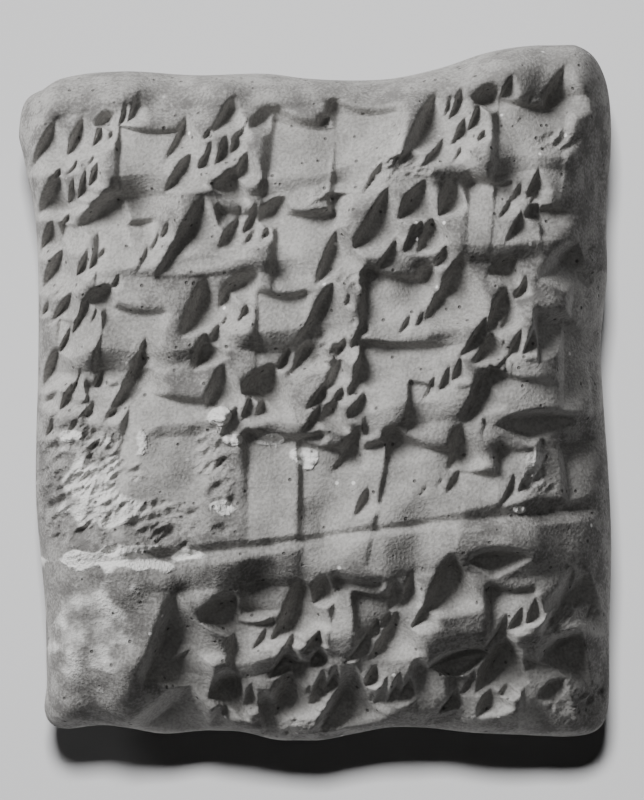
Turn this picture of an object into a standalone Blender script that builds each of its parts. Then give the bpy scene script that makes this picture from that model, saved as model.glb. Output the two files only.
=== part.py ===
"""A small clay tablet, lying on its back with its written face up.

One solid: a hand-moulded clay pillow with rows of wedge-shaped stylus strokes, a ruled line, and a back
that is plain apart from low swells. Metres, X to the right of the writing, Y to its top, Z up.
"""

import math

import bmesh
import bpy
import numpy

# Driving dimensions, in metres
TABLET_HEIGHT = 0.036
TABLET_WIDTH = 0.0307
TABLET_THICKNESS = 0.015
BELT_HEIGHT = 0.007
FLAT_SPOT_SINK = 0.00008
TERRACE_DEPTH = 0.00112
TERRACE_REACH = 0.0052
TERRACE_SHOULDER = 0.002
TERRACE_WANDER = 0.00035
TERRACE_PITCH = 0.0075
RULED_DEPTH = 0.00042
RULED_EXTRA_DEPTH = 0.0002
RULED_LOWER_REACH = 0.0006
RULED_UPPER_REACH = 0.00045
RULED_EXTRA_REACH = 0.00035
SHOULDER_DROP = 0.0011
FOOT_DROP = 0.0015
SWELL_HEIGHT = 0.00024
SWELL_PITCH = 0.0046
DIMPLE_HEIGHT = 0.00009
DIMPLE_PITCH = 0.002
BACK_SWELL_HEIGHT = 0.00016
BACK_SWELL_PITCH = 0.009
LIP_HEIGHT = 0.0001
LIP_REACH = 0.00022
BULGE_HEIGHT = 0.00042
BULGE_REACH = 0.001
LIP_LIMIT = 0.0006
LIP_FADE = 0.00045
PIT_SHARE = 0.3
PIT_REACH = 0.0007
SHOULDER_LEAST = 0.00025
STROKE_STRETCH = 1.14
STROKE_SHAKE = 0.00012
STROKE_TURN = 4.0
STROKE_SEED = 5
FAN_SLITS = 3
FAN_STEP = 0.042
FAN_RISE = 0.25
FAN_FALL = 0.12
TINY = 1e-9

# How square the form is: 2 is an ellipse, larger numbers are squarer
FRONT_SQUARENESS = 3.6
BACK_SQUARENESS = 2.8
MIDDLE_SQUARENESS = 5.0
CORNER_SQUARENESS = 22.0

# How finely the form is sampled, and how many triangles the solid keeps
CUTS = 150
TRIANGLES_KEPT = 9000

CLAY_COLOUR = (0.40, 0.39, 0.37, 1.0)
CLAY_ROUGHNESS = 0.9
MM = 0.001

# Each side's inset from its straight edge, in millimetres, against the share along it from -1 to 1
LEFT_INSET = [
    (-1.0, 1.0), (-0.93, 1.1), (-0.86, 1.38), (-0.78, 1.44), (-0.65, 1.42), (-0.5, 1.15), (-0.35, 0.93),
    (-0.15, 0.9), (0.0, 0.98), (0.2, 1.0), (0.38, 1.0), (0.53, 0.8), (0.64, 0.5), (0.74, 0.25), (0.82, 0.0),
    (1.0, 0.0),
]
RIGHT_INSET = [
    (-1.0, 0.08), (-0.7, 0.15), (-0.4, 0.13), (-0.2, 0.22), (-0.08, 0.42), (0.02, 0.58), (0.13, 0.64),
    (0.22, 0.5), (0.32, 0.3), (0.45, 0.33), (0.6, 0.3), (0.72, 0.1), (0.82, 0.0), (1.0, 0.0),
]
BOTTOM_INSET = [
    (-1.0, 0.3), (-0.9, 0.45), (-0.82, 0.68), (-0.74, 0.8), (-0.64, 0.68), (-0.52, 0.38), (-0.35, 0.45),
    (-0.24, 0.38), (-0.14, 0.04), (0.02, 0.02), (0.13, 0.35), (0.25, 0.65), (0.35, 0.62), (0.5, 0.4),
    (0.7, 0.28), (0.85, 0.15), (1.0, 0.12),
]
TOP_INSET = [
    (-1.0, 2.1), (-0.92, 2.15), (-0.88, 1.85), (-0.8, 1.6), (-0.65, 1.48), (-0.45, 1.6), (-0.15, 1.58),
    (-0.04, 1.82), (0.13, 1.9), (0.25, 1.8), (0.42, 1.25), (0.58, 0.48), (0.75, 0.0), (0.88, 0.05),
    (0.935, 0.45), (1.0, 1.5),
]

# The kinds of stroke: heading in degrees, share of the length where it is deepest, share of the depth
# kept at the tail, how far the broad facet reaches as a share of the length, how wide the steep side's
# rounded shoulder is, how hard it is pressed, and how far it bows as a share of the length. A panel has
# instead of the second and third number how much of its depth it loses across and down its facet.
STROKE_KINDS = {
    "panel": (-4.0, 0.30, 0.80, 0.62, 1.0, 0.85, 0.05),
    "upright": (98.0, 0.93, 0.40, 0.80, 0.9, 1.0, 0.03),
    "lens": (63.0, 0.55, 0.0, 0.62, 0.75, 0.88, 0.07),
    "slit": (62.0, 0.50, 0.0, 0.45, 0.55, 1.0, 0.08),
    "gash": (7.0, 0.40, 0.0, 0.32, 0.6, 1.0, -0.04),
    "shelf": (-2.0, 0.12, 0.10, 0.90, 1.1, 0.9, 0.05),
    "hook": (38.0, 0.55, 0.0, 0.95, 0.95, 0.95, 0.08),
}
HEADED_KINDS = ("upright", "shelf")

# Each row's top line at the left and right edge as shares of the half height, the share across where its
# terrace starts, and its strokes: kind, place across from -1 to 1, drop below the line, length, depth (mm)
ROWS = [
    (0.770, 0.860, -0.93, [
        ("lens", -0.85, 0.0, 3.1, 0.75), ("lens", -0.775, -0.2, 2.8, 0.55),
        ("slit", -0.775, 2.0, 1.3, 0.25), ("slit", -0.73, 1.5, 1.1, 0.2), ("slit", -0.85, 2.3, 1.1, 0.3),
        ("lens", -0.84, 2.7, 2.6, 0.95), ("hook", -0.655, -0.25, 1.3, 0.7),
        ("slit", -0.585, -1.15, 2.2, 0.4), ("panel", -0.65, 0.55, 4.4, 0.42),
        ("lens", -0.415, 0.1, 2.9, 0.6), ("lens", -0.405, 1.9, 2.6, 0.85), ("slit", -0.73, 2.7, 1.9, 0.3),
        ("lens", -0.26, -0.6, 2.3, 0.55), ("slit", -0.35, 0.85, 1.1, 0.25),
        ("slit", -0.22, 0.25, 1.9, 0.3), ("lens", -0.22, 1.8, 2.3, 0.55), ("hook", -0.24, 3.2, 1.7, 0.6),
        ("panel", -0.135, 0.6, 4.3, 0.85), ("hook", -0.12, 0.2, 1.8, 0.8),
        ("panel", 0.05, 0.5, 4.2, 0.75), ("hook", 0.055, 0.3, 1.4, 0.6), ("slit", 0.145, 2.1, 1.2, 0.3),
        ("lens", 0.40, -0.3, 3.5, 0.9), ("slit", 0.455, -0.2, 2.3, 0.35),
        ("slit", 0.495, -0.5, 2.5, 0.45), ("slit", 0.48, 1.0, 2.5, 0.3), ("slit", 0.49, 1.9, 1.6, 0.3),
        ("hook", 0.61, -0.5, 1.5, 0.9), ("slit", 0.65, -1.2, 2.2, 0.45), ("slit", 0.565, 1.4, 1.2, 0.4),
        ("panel", 0.60, 0.3, 4.8, 0.6), ("lens", 0.73, -0.05, 2.9, 0.55), ("lens", 0.83, -1.6, 3.2, 0.75),
        ("shelf", 0.72, 1.8, 2.3, 0.35), ("hook", 0.35, 2.1, 2.9, 0.4), ("fan", -0.80, 2.6, 2.6, 0.40),
        ("fan", -0.33, 1.4, 2.6, 0.40), ("fan", 0.46, 0.6, 3.2, 0.46), ("fan", -0.70, -0.2, 2.6, 0.40),
        ("fan", 0.20, 3.0, 2.3, 0.34),
    ]),
    (0.505, 0.626, -0.93, [
        ("lens", -0.855, 0.2, 2.4, 0.6), ("lens", -0.845, 1.5, 2.8, 0.85),
        ("hook", -0.63, -0.8, 2.9, 0.9), ("slit", -0.81, 0.0, 1.1, 0.4),
        ("panel", -0.71, 0.55, 3.9, 0.42), ("panel", -0.83, 0.7, 1.8, 0.25),
        ("lens", -0.70, 1.8, 1.4, 0.45), ("lens", -0.37, -0.1, 4.3, 1.05),
        ("slit", -0.31, 0.5, 2.6, 0.35), ("hook", -0.09, 0.0, 2.2, 1.0), ("panel", -0.33, 0.9, 2.6, 0.3),
        ("slit", -0.17, 1.0, 2.3, 0.5), ("slit", -0.14, 1.2, 1.6, 0.5), ("panel", -0.135, 1.0, 4.0, 0.6),
        ("upright", 0.045, 0.1, 1.8, 0.5), ("lens", 0.07, 1.5, 3.2, 0.9), ("lens", 0.235, -0.3, 4.1, 0.7),
        ("lens", 0.37, -0.4, 2.9, 0.9), ("lens", 0.46, -0.1, 2.2, 0.75), ("lens", 0.395, 1.4, 2.3, 0.85),
        ("slit", 0.425, 2.3, 2.4, 0.3), ("panel", 0.50, 0.0, 3.0, 0.45), ("panel", 0.60, 0.5, 3.2, 0.35),
        ("lens", 0.665, 1.3, 2.3, 0.5), ("slit", 0.73, -0.8, 2.3, 0.5), ("hook", 0.76, 1.3, 1.3, 0.6),
        ("shelf", 0.75, 1.6, 2.0, 0.35), ("hook", 0.87, 3.3, 2.6, 0.8), ("hook", 0.13, 3.2, 2.0, 0.5),
        ("fan", -0.80, 2.2, 2.4, 0.40), ("fan", -0.27, 0.6, 3.2, 0.52), ("fan", 0.28, 1.8, 2.9, 0.46),
        ("fan", 0.66, 0.2, 2.6, 0.40), ("fan", -0.55, 1.2, 2.6, 0.29),
    ]),
    (0.295, 0.372, -0.93, [
        ("slit", -0.885, 0.6, 1.1, 0.4), ("lens", -0.80, 0.0, 2.3, 0.5), ("lens", -0.74, 0.0, 3.5, 0.6),
        ("lens", -0.845, 2.8, 2.6, 0.85), ("hook", -0.665, 0.15, 1.7, 0.8),
        ("slit", -0.63, -0.6, 1.4, 0.3), ("panel", -0.70, 1.1, 4.2, 0.42),
        ("panel", -0.84, 1.8, 2.2, 0.3), ("lens", -0.355, 0.0, 3.1, 0.95),
        ("lens", -0.355, 2.4, 2.1, 0.7), ("lens", -0.265, 0.0, 2.6, 0.7), ("slit", -0.275, 2.5, 1.4, 0.3),
        ("hook", -0.17, 0.0, 2.1, 0.8), ("panel", -0.195, 1.0, 3.4, 0.5), ("lens", -0.56, 2.2, 3.0, 0.5),
        ("lens", 0.065, 0.1, 3.9, 0.8), ("slit", 0.12, 1.0, 1.2, 0.25), ("slit", 0.125, 1.9, 1.0, 0.25),
        ("panel", 0.16, 0.1, 4.4, 0.5), ("hook", 0.385, 0.0, 1.4, 0.7), ("slit", 0.30, 0.7, 1.2, 0.25),
        ("slit", 0.37, 0.9, 1.4, 0.3), ("lens", 0.50, -0.8, 4.3, 0.9), ("hook", 0.665, -0.7, 1.7, 0.5),
        ("lens", 0.635, 1.0, 2.4, 0.65), ("slit", 0.70, 0.6, 1.3, 0.45), ("shelf", 0.71, 2.7, 2.6, 0.8),
        ("panel", 0.86, 0.4, 3.6, 0.5), ("hook", 0.30, 3.0, 2.9, 0.45), ("lens", -0.02, 2.9, 2.6, 0.6),
        ("fan", -0.80, 1.2, 2.9, 0.46), ("fan", -0.30, 1.2, 2.9, 0.46), ("fan", 0.10, 2.4, 2.6, 0.40),
        ("fan", 0.56, 2.0, 2.9, 0.46), ("fan", 0.32, 1.6, 2.3, 0.34),
    ]),
    (0.050, 0.180, -0.93, [
        ("hook", -0.84, 1.0, 1.5, 0.4), ("slit", -0.87, 2.0, 1.4, 0.4), ("lens", -0.56, -1.0, 4.2, 0.75),
        ("panel", -0.61, 1.1, 6.4, 0.55), ("lens", -0.29, 0.2, 3.0, 0.85),
        ("panel", -0.74, 0.9, 2.2, 0.3), ("hook", -0.12, 0.5, 2.4, 0.8), ("slit", -0.095, -0.5, 1.7, 0.4),
        ("lens", 0.075, 0.2, 2.2, 0.75), ("hook", 0.09, 2.4, 1.7, 0.8), ("shelf", 0.13, -0.2, 5.2, 0.6),
        ("lens", 0.18, -0.1, 3.0, 0.85), ("panel", 0.27, 0.9, 2.6, 0.3), ("shelf", 0.30, 2.1, 3.4, 0.35),
        ("lens", 0.19, 1.5, 2.7, 0.5), ("lens", 0.575, -0.6, 2.1, 0.8), ("slit", 0.62, 0.2, 1.4, 0.4),
        ("lens", 0.56, 1.5, 2.8, 0.85), ("shelf", 0.57, 1.9, 3.6, 0.45), ("panel", 0.82, -0.2, 4.0, 0.45),
        ("upright", 0.90, 1.3, 2.6, 0.4), ("shelf", 0.62, 0.6, 2.4, 0.3), ("shelf", 0.64, 1.2, 2.2, 0.25),
        ("fan", -0.80, 0.2, 2.6, 0.40), ("fan", -0.24, 1.6, 2.9, 0.46), ("fan", 0.40, 1.0, 2.6, 0.34),
        ("fan", 0.02, 1.6, 2.6, 0.40), ("fan", 0.70, -0.6, 2.6, 0.40),
    ]),
    (-0.130, -0.100, -0.62, [
        ("panel", -0.235, 0.2, 5.2, 0.45), ("panel", -0.14, 0.9, 4.2, 0.3),
        ("panel", -0.05, 0.6, 5.8, 0.55), ("lens", 0.16, -0.2, 3.0, 0.9), ("lens", 0.18, 2.4, 2.1, 0.7),
        ("panel", 0.25, 0.4, 5.8, 0.6), ("lens", 0.48, -0.4, 2.8, 0.9), ("lens", 0.475, 1.7, 2.1, 0.7),
        ("gash", 0.88, -0.5, 4.0, 0.85), ("shelf", 0.49, 2.0, 2.8, 0.4), ("panel", 0.62, 0.9, 2.4, 0.28),
        ("panel", 0.74, 0.7, 2.4, 0.25), ("upright", 0.81, 0.6, 3.0, 0.45),
        ("panel", 0.40, 2.4, 2.4, 0.3), ("fan", 0.08, 0.8, 2.6, 0.40), ("fan", 0.40, 1.6, 2.6, 0.40),
        ("fan", 0.66, 1.8, 2.3, 0.34),
    ]),
    (-0.600, -0.480, -0.62, [
        ("lens", -0.46, -0.1, 4.6, 1.2), ("hook", -0.25, 0.1, 2.2, 1.1), ("shelf", -0.26, 0.8, 2.0, 0.5),
        ("lens", -0.055, -0.6, 3.4, 1.0), ("panel", -0.27, 1.7, 2.8, 0.5), ("slit", -0.08, 1.8, 1.7, 0.5),
        ("slit", -0.06, 2.6, 2.4, 0.7), ("slit", 0.02, 2.0, 1.6, 0.5), ("slit", 0.0, 2.9, 1.8, 0.5),
        ("slit", -0.01, 1.3, 1.1, 0.4), ("lens", 0.045, -0.3, 1.9, 0.9), ("panel", 0.08, 0.0, 3.0, 0.4),
        ("panel", 0.135, 0.6, 4.2, 0.45), ("lens", 0.26, -0.4, 2.2, 0.6), ("lens", 0.265, 1.2, 3.4, 0.8),
        ("slit", 0.31, -0.4, 2.6, 0.5), ("lens", 0.47, -1.1, 3.5, 0.9), ("gash", 0.72, -0.3, 3.0, 0.95),
        ("panel", 0.58, 0.9, 3.0, 0.35), ("hook", 0.90, 0.2, 2.9, 0.9), ("lens", 0.84, 0.2, 3.4, 0.9),
        ("hook", -0.36, 1.9, 3.3, 0.9), ("slit", 0.36, 1.0, 1.9, 0.5), ("fan", -0.14, 1.2, 2.6, 0.46),
        ("fan", 0.18, 1.6, 2.6, 0.46), ("fan", 0.40, 0.4, 2.6, 0.40), ("fan", 0.64, 1.6, 2.6, 0.46),
    ]),
    (-0.830, -0.710, -0.62, [
        ("hook", -0.40, 0.0, 4.0, 1.0), ("hook", -0.24, 0.3, 2.0, 1.2), ("lens", -0.075, -0.1, 3.2, 1.2),
        ("upright", -0.085, -0.2, 2.0, 0.5), ("lens", 0.14, 0.1, 3.7, 1.2), ("slit", 0.20, 0.2, 1.6, 0.6),
        ("slit", 0.20, 1.3, 1.2, 0.5), ("gash", 0.60, 0.2, 3.4, 0.95), ("panel", 0.35, 0.5, 2.5, 0.35),
        ("panel", 0.44, 1.0, 3.0, 0.35), ("lens", 0.64, -1.1, 3.7, 1.2), ("lens", 0.575, 1.3, 2.2, 0.8),
        ("lens", 0.645, 1.2, 1.5, 0.7), ("panel", 0.70, 0.6, 3.4, 0.35), ("hook", 0.88, -0.8, 2.6, 1.0),
        ("hook", 0.83, 1.5, 1.8, 0.8), ("shelf", -0.20, 1.9, 3.0, 0.8), ("slit", 0.02, 0.9, 1.9, 0.6),
        ("fan", -0.02, 0.4, 2.6, 0.52), ("fan", 0.24, 0.8, 2.6, 0.46), ("fan", 0.50, 0.8, 2.6, 0.46),
        ("fan", -0.30, 1.2, 2.6, 0.46),
    ]),
]


def smooth(low, high, value):
    """0 below low, 1 above high, an even curve between."""
    share = numpy.clip((value - low) / (high - low), 0.0, 1.0)
    return share * share * (3.0 - 2.0 * share)


def through(points, at):
    """A smooth curve, never below 0, through a few points whose slopes come from their neighbours."""
    places = numpy.array([point[0] for point in points])
    values = numpy.array([point[1] for point in points])
    slopes = numpy.gradient(values, places)
    at = numpy.clip(at, places[0], places[-1])
    index = numpy.clip(numpy.searchsorted(places, at) - 1, 0, len(places) - 2)
    span = places[index + 1] - places[index]
    share = (at - places[index]) / span
    start = values[index] * (1 + 2 * share) * (1 - share) ** 2
    end = values[index + 1] * share ** 2 * (3 - 2 * share)
    leaving = slopes[index] * span * share * (1 - share) ** 2
    arriving = slopes[index + 1] * span * share ** 2 * (share - 1)
    return numpy.maximum(start + end + leaving + arriving, 0)


def waves(x, y, pitch, seed, count=9):
    """Low seeded waves in all directions, about 1 high and near one pitch long."""
    draw = numpy.random.default_rng(seed)
    total = numpy.zeros_like(x)
    for _ in range(count):
        angle = draw.uniform(0, 2 * math.pi)
        length = pitch * draw.uniform(0.7, 1.6)
        phase = draw.uniform(0, 2 * math.pi)
        along = x * math.cos(angle) + y * math.sin(angle)
        total = total + numpy.sin(2 * math.pi * along / length + phase)
    return total / math.sqrt(count)


def plan(u, v):
    """Where a point at shares u across and v up lies, between the four uneven sides."""
    near_left = smooth(0.45, 1, -u)
    near_right = smooth(0.45, 1, u)
    near_bottom = smooth(0.45, 1, -v)
    near_top = smooth(0.45, 1, v)
    x = u * TABLET_WIDTH / 2
    x = x + near_left * through(LEFT_INSET, v) * MM - near_right * through(RIGHT_INSET, v) * MM
    y = v * TABLET_HEIGHT / 2
    y = y + near_bottom * through(BOTTOM_INSET, u) * MM - near_top * through(TOP_INSET, u) * MM
    return x, y


def arch(share):
    """0 at both ends of the range from 0 to 1, and 1 in its middle."""
    return 1 - (2 * numpy.clip(share, 0, 1) - 1) ** 2


def lip(depth, lateral, beyond, side):
    """The clay pushed up around a stroke: a narrow lip on a broad low bulge, highest on the steep side."""
    away = numpy.hypot(numpy.maximum(lateral, 0), numpy.maximum(beyond, 0))
    raised = LIP_HEIGHT * numpy.exp(-away / LIP_REACH)
    raised = raised + BULGE_HEIGHT * numpy.exp(-(away / BULGE_REACH) ** 1.5)
    return min(depth / MM, 1.0) * raised * (0.3 + 0.7 * side)


def panel(x, y, kind, tip, length, depth, turn):
    """A broad facet, deepest at its upper left corner, that rises to the right and downwards."""
    heading, fall_across, fall_down, reach, shoulder, press, bow = STROKE_KINDS[kind]
    length = length * STROKE_STRETCH
    wide = reach * length
    depth = depth * press
    rim = shoulder * (SHOULDER_LEAST + depth)
    cosine = math.cos(math.radians(heading + turn))
    sine = math.sin(math.radians(heading + turn))
    right = (x - tip[0]) * cosine + (y - tip[1]) * sine
    below = (x - tip[0]) * sine - (y - tip[1]) * cosine - bow * length * arch(right / wide)
    inside = numpy.maximum(right, 0)
    under = numpy.maximum(below, 0)
    floor = depth * (1 - fall_across * inside / wide - fall_down * under / length)
    floor = floor - 0.5 * numpy.maximum(inside - wide, 0) - 0.3 * numpy.maximum(under - length, 0)
    outside = numpy.hypot(numpy.minimum(right, 0), numpy.minimum(below, 0))
    bite = numpy.maximum(floor, 0) * numpy.clip(1 - outside / rim, 0, 1) ** 2
    corner = numpy.hypot(right, below)
    bite = bite + PIT_SHARE * depth * numpy.exp(-(corner / PIT_REACH) ** 2)
    lateral = numpy.maximum(-right, right - 1.2 * wide) - 0.6 * rim
    beyond = numpy.maximum(-below, below - 1.2 * length) - 0.6 * rim
    side = smooth(0.5 * MM, -0.3 * MM, numpy.minimum(right, below) - 0.15 * corner)
    return bite, lip(depth, lateral, beyond, side)


def wedge(x, y, kind, tip, length, depth, turn):
    """A stroke along a line, with a broad facet on one side and a steep rounded wall on the other."""
    heading, deepest, kept, reach, shoulder, press, bow = STROKE_KINDS[kind]
    length = length * STROKE_STRETCH
    depth = depth * press
    rim = shoulder * (SHOULDER_LEAST + depth)
    cosine = math.cos(math.radians(heading + turn))
    sine = math.sin(math.radians(heading + turn))
    start_x, start_y = tip
    if kind != "shelf":
        start_x = start_x - cosine * length
        start_y = start_y - sine * length
    along = ((x - start_x) * cosine + (y - start_y) * sine) / length
    across = (x - start_x) * sine - (y - start_y) * cosine - bow * length * arch(along)
    if kind in HEADED_KINDS:
        head = (1 - along) if kind == "upright" else along
        rising = along / deepest if kind == "upright" else (1 - along) / (1 - deepest)
        line = depth * (kept + (1 - kept) * rising)
        line = numpy.minimum(line, numpy.minimum(2.2 * head * length, 0.8 * (1 - head) * length))
    else:
        half = numpy.where(along > deepest, 1 - deepest, deepest)
        line = depth * (1 - numpy.abs((along - deepest) / half) ** 1.3)
    line = numpy.maximum(line, 0)
    broad = reach * length * line / depth + TINY
    facet = numpy.clip(1 - across / broad, 0, 1)
    wall = numpy.clip(1 + across / rim, 0, 1) ** 2
    bite = line * numpy.where(across > 0, facet, wall)
    beyond = numpy.maximum(-along, along - 1) * length
    lateral = numpy.where(across > 0, across - broad, -across - 0.6 * rim)
    side = smooth(1, -1, across / (0.15 * MM + 1.2 * numpy.maximum(beyond, 0)))
    return bite, lip(depth, lateral, beyond, side)


def spread_out(marks):
    """A row's marks, with each fan written out as a few slits side by side."""
    for kind, place, drop, length, depth in marks:
        if kind != "fan":
            yield kind, place, drop, length, depth
            continue
        for step in range(FAN_SLITS):
            shorter = length * (1 - FAN_FALL * step)
            yield "slit", place + FAN_STEP * step, drop - FAN_RISE * step, shorter, depth


def strokes(x, y):
    """The depth that all the rows' strokes cut, and the lips between them."""
    draw = numpy.random.default_rng(STROKE_SEED)
    deep = numpy.zeros_like(x)
    lips = numpy.zeros_like(x)
    for left, right, _, marks in ROWS:
        for kind, place, drop, length, depth in spread_out(marks):
            turn = draw.normal(0, STROKE_TURN)
            top = (left + (right - left) * (place + 1) / 2) * TABLET_HEIGHT / 2
            tip_x = place * TABLET_WIDTH / 2 + draw.normal(0, STROKE_SHAKE)
            tip_y = top - drop * MM + draw.normal(0, STROKE_SHAKE)
            cut = panel if kind == "panel" else wedge
            bite, raised = cut(x, y, kind, (tip_x, tip_y), length * MM, depth * MM, turn)
            deep = numpy.maximum(deep, bite)
            lips = lips + raised
    lips = LIP_LIMIT * numpy.tanh(lips / LIP_LIMIT) * (1 - smooth(0, LIP_FADE, deep))
    return deep, lips


def terraces(x, y):
    """Each row's floor drops below its top line, past a rounded shoulder, and climbs towards the next row."""
    u = x / (TABLET_WIDTH / 2)
    still = numpy.zeros_like(y)
    deep = numpy.zeros_like(x)
    for index, (left, right, start, _) in enumerate(ROWS):
        top = (left + (right - left) * (u + 1) / 2) * TABLET_HEIGHT / 2
        top = top + TERRACE_WANDER * waves(x, still, TERRACE_PITCH, 40 + index)
        share = numpy.clip(0.65 + 0.4 * waves(x, still, TERRACE_PITCH, 60 + index), 0, 1.2)
        share = share * smooth(start, start + 0.13, u)
        below = top - y
        above = numpy.clip(1 + below / TERRACE_SHOULDER, 0, 1) ** 2
        floor = numpy.where(below > 0, 1 - below / TERRACE_REACH, above)
        deep = numpy.maximum(deep, TERRACE_DEPTH * share * floor)
    return deep


def ruled_line(x, y):
    """The line ruled across the tablet, deeper towards its right end."""
    u = x / (TABLET_WIDTH / 2)
    line = (-0.41 + 0.08 * u + 0.012 * numpy.sin(3 * u)) * TABLET_HEIGHT / 2
    below = line - y
    right = smooth(0, 0.9, u)
    upper = RULED_UPPER_REACH + RULED_EXTRA_REACH * right
    groove = numpy.where(below > 0, 1 - below / RULED_LOWER_REACH, 1 + below / upper)
    ends = smooth(-0.86, -0.6, u) * (1 - smooth(0.88, 0.96, u))
    return (RULED_DEPTH + RULED_EXTRA_DEPTH * right) * ends * numpy.maximum(0, groove)


def pillow(p, q, r):
    """Turns the points of a cube from -1 to 1 into shares across, up and through a squarish pillow."""
    size_p = numpy.abs(p)
    size_q = numpy.abs(q)
    outward = (size_p ** 8 + size_q ** 8) ** (1 / 8)
    cornered = smooth(0.75, 1, outward) * (1 - 0.8 * smooth(0, 1, numpy.abs(r)))
    square = MIDDLE_SQUARENESS + (CORNER_SQUARENESS - MIDDLE_SQUARENESS) * cornered
    flat = (size_p ** square + size_q ** square) ** (1 / square)
    bulge = numpy.where(r > 0, FRONT_SQUARENESS, BACK_SQUARENESS)
    spread = (flat ** bulge + numpy.abs(r) ** bulge) ** (1 / bulge)
    return p / spread, q / spread, r / spread


def tablet_points(p, q, r):
    """The tablet's surface points from a cube's points."""
    u, v, w = pillow(p, q, r)
    x, y = plan(u, v)
    front = (TABLET_THICKNESS - BELT_HEIGHT) * w
    back = (BELT_HEIGHT + FLAT_SPOT_SINK) * w
    deep, lips = strokes(x, y)
    cut = numpy.maximum(deep, ruled_line(x, y)) + terraces(x, y) - lips
    cut = cut + SWELL_HEIGHT * waves(x, y, SWELL_PITCH, 3) + DIMPLE_HEIGHT * waves(x, y, DIMPLE_PITCH, 4)
    fullness = 0.45 + 0.55 * smooth(0.25, 0.5, numpy.abs(v + 0.05))
    shoulder = SHOULDER_DROP * smooth(0.66, 1, u) * fullness
    foot = FOOT_DROP * smooth(-0.4, -1, v) * smooth(-0.75, -0.35, u)
    front = front - cut * smooth(0.15, 0.6, w) - (shoulder + foot) * w
    swell = BACK_SWELL_HEIGHT * (1 + waves(x, y, BACK_SWELL_PITCH, 8))
    back = back + swell * smooth(0.1, 0.5, -w) * (1 - smooth(0.9, 0.99, -w))
    z = BELT_HEIGHT + numpy.where(w > 0, front, back)
    x = x - (x.max() + x.min()) / 2
    y = y - (y.max() + y.min()) / 2
    return x, y, z


def clay_material():
    material = bpy.data.materials.new("clay")
    material.use_nodes = True
    shader = material.node_tree.nodes["Principled BSDF"]
    shader.inputs["Base Color"].default_value = CLAY_COLOUR
    shader.inputs["Roughness"].default_value = CLAY_ROUGHNESS
    shader.inputs["Metallic"].default_value = 0.0
    return material


def tablet():
    """A finely divided cube, moulded into the tablet and then thinned to the triangles kept."""
    mesh = bpy.data.meshes.new("tablet")
    shape = bmesh.new()
    bmesh.ops.create_cube(shape, size=2.0)
    bmesh.ops.subdivide_edges(shape, edges=shape.edges[:], cuts=CUTS, use_grid_fill=True)
    bmesh.ops.triangulate(shape, faces=shape.faces[:])
    triangles = len(shape.faces)
    shape.to_mesh(mesh)
    shape.free()
    points = numpy.empty(len(mesh.vertices) * 3)
    mesh.vertices.foreach_get("co", points)
    cube = points.reshape(-1, 3)
    moulded = numpy.stack(tablet_points(cube[:, 0], cube[:, 1], cube[:, 2]), axis=1)
    mesh.vertices.foreach_set("co", moulded.ravel())
    mesh.materials.append(clay_material())
    mesh.shade_smooth()
    mesh.update()
    piece = bpy.data.objects.new("tablet", mesh)
    bpy.context.scene.collection.objects.link(piece)
    thinner = piece.modifiers.new("thinner", "DECIMATE")
    thinner.ratio = min(1.0, TRIANGLES_KEPT / triangles)
    bpy.context.view_layer.objects.active = piece
    bpy.ops.object.modifier_apply(modifier="thinner")
    return piece


def rub_flat(piece):
    """Takes off what lies below z = 0, so that the convex back rests on a small flat spot."""
    shape = bmesh.new()
    shape.from_mesh(piece.data)
    whole = shape.verts[:] + shape.edges[:] + shape.faces[:]
    down = (0, 0, -1)
    cut = bmesh.ops.bisect_plane(shape, geom=whole, plane_co=(0, 0, 0), plane_no=down, clear_outer=True)
    rim = [part for part in cut["geom_cut"] if isinstance(part, bmesh.types.BMEdge)]
    bmesh.ops.contextual_create(shape, geom=rim)
    shape.to_mesh(piece.data)
    shape.free()


for old in list(bpy.data.objects):
    bpy.data.objects.remove(old)
rub_flat(tablet())
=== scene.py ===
# Small clay tablet with rows of stylus strokes, lying on its convex back and seen from straight above.
import math

import bpy
import numpy as np
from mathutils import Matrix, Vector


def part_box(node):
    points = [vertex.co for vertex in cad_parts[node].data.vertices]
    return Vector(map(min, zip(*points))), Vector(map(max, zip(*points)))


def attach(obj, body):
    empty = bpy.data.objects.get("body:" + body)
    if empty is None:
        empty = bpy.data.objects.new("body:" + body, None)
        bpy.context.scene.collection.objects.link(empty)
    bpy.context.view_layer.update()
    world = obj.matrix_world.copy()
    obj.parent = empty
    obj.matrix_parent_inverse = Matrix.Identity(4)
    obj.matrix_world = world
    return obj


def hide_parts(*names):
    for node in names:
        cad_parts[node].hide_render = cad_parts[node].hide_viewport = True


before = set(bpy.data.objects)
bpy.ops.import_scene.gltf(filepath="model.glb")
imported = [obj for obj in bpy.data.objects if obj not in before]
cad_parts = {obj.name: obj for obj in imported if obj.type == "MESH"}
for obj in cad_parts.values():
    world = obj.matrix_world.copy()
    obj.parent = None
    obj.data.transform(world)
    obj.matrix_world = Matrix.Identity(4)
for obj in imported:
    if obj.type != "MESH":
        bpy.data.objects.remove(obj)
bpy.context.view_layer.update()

mm = 0.001
tiny = 1e-9
low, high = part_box("tablet")
size = high - low
print("frame loaded, tablet", [round(side / mm, 1) for side in size], "mm")

# the photograph's frame: its size, the middle of the tablet in it and the real size of a pixel there
photo = {
    "wide": 644,
    "tall": 800,
    "middle": (315.5, 392.5),
    "pixel": 0.0518 * mm,
}

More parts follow.
